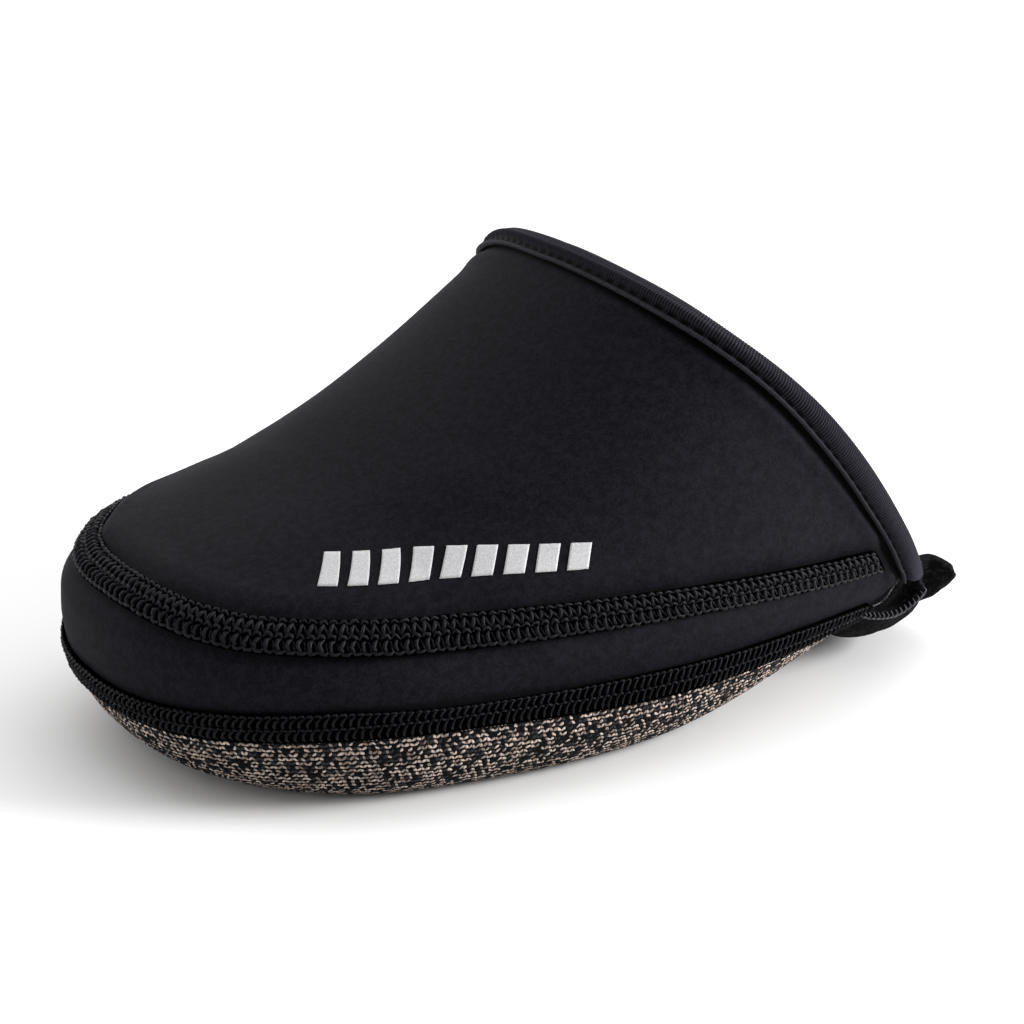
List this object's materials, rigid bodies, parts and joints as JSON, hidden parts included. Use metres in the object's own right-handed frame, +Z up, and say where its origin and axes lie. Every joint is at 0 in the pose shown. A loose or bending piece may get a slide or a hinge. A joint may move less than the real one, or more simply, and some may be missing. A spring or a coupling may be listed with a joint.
{
  "type": "cycling toe cover",
  "caption": "Stretch toe cover for a cyclist's left shoe: hollow padded upper with raised flat seams, bound slanting collar, knitted sole with cleat opening, hook-and-loop strap under the arch.",
  "frame": {"origin": "on the floor, on the flat of the sole in front of the cleat opening, 58 mm behind the toe tip", "axes": "+X from the toe towards the heel, +Y towards the inner side of the foot, +Z up"},
  "size_m": [0.168, 0.1078, 0.082],
  "materials": {
    "foam_fabric": "satin",
    "knit": "matte",
    "thread": "satin",
    "binding": "satin",
    "loop_tape": "matte"
  },
  "bodies": {
    "root": {"upper": "foam_fabric", "sole": "knit", "vamp_seam": "thread", "sole_seam": "thread", "collar_binding": "binding", "cleat_opening_edge": "binding", "outer_strap": "loop_tape", "inner_strap": "loop_tape"}
  },
  "joints": []
}
